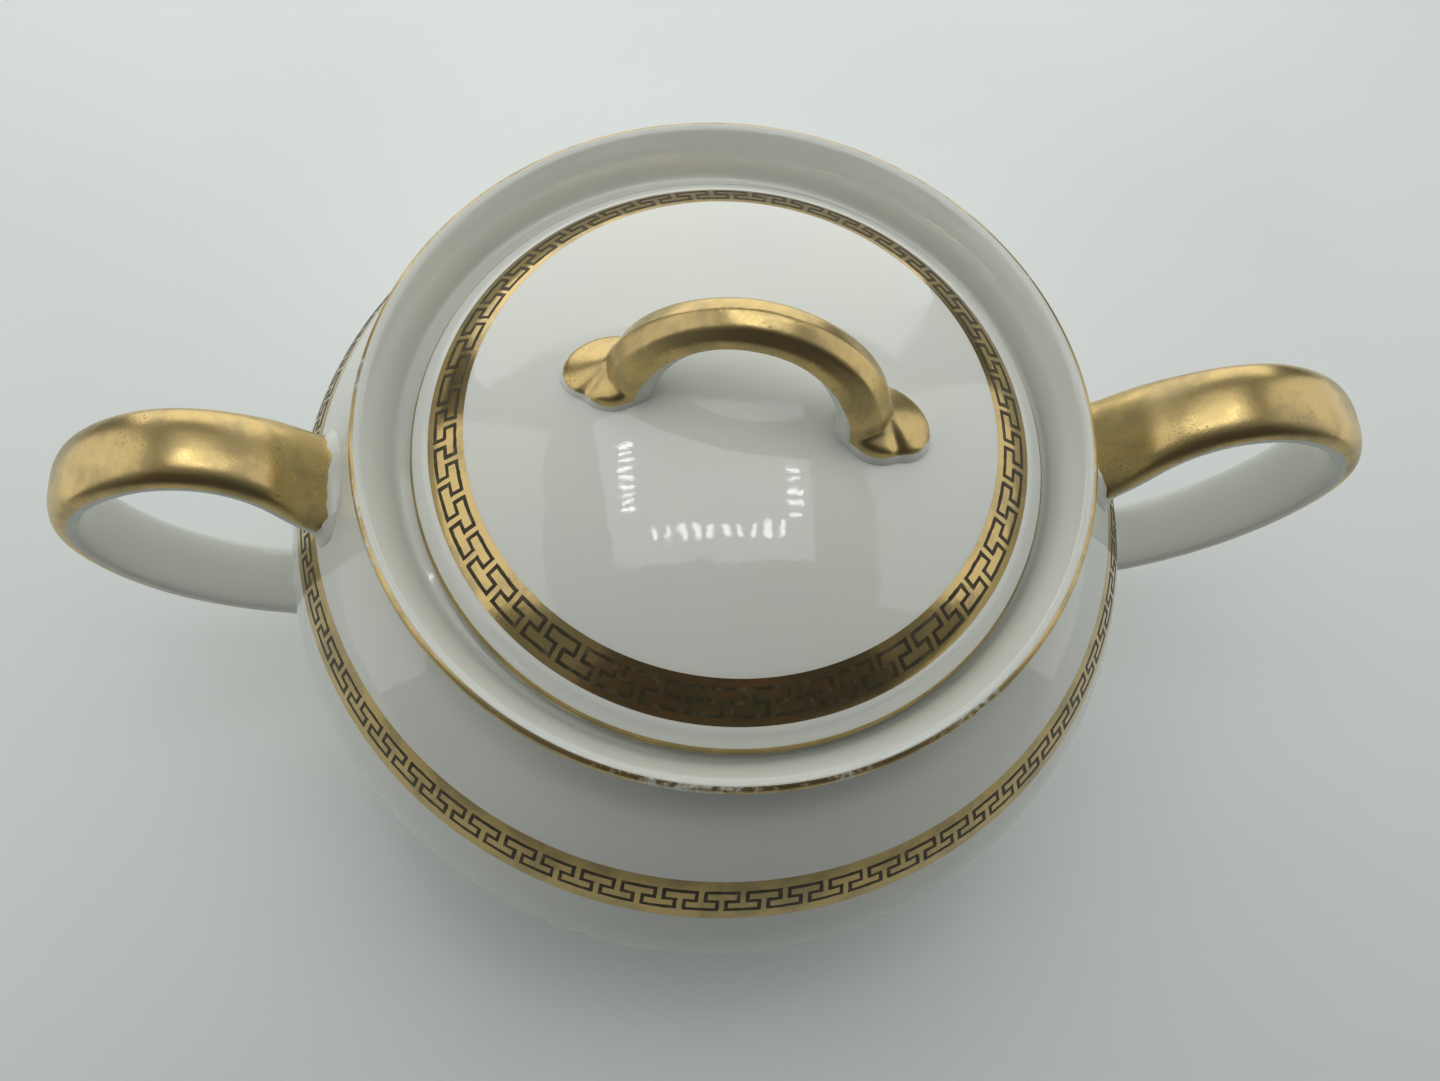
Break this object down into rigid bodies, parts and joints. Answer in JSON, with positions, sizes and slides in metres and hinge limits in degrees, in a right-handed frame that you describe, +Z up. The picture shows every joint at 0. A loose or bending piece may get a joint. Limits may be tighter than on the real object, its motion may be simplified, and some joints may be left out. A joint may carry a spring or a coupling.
{
  "type": "sugar bowl",
  "caption": "Round porcelain sugar bowl with loop handles at its sides and a recessed lift-off lid with a bow handle, gilded and banded.",
  "frame": {"origin": "middle of the circle that the foot ring stands on", "axes": "+Z up along the turned bowl's axis, +X through the right loop handle, -Y to the front"},
  "size_m": [0.1732, 0.1204, 0.096],
  "materials": {
    "porcelain": "gloss",
    "gilding": "gloss",
    "key_line": "gloss"
  },
  "bodies": {
    "bowl": {"bowl_body": "porcelain", "handle_left": "gilding", "handle_right": "gilding"},
    "lid": {"lid": "porcelain", "lid_handle": "gilding"}
  },
  "joints": [
    {"name": "lid_lift", "type": "slide", "parent": "bowl", "child": "lid", "axis": [0, 0, 1], "range_m": [0, 0.06]}
  ]
}
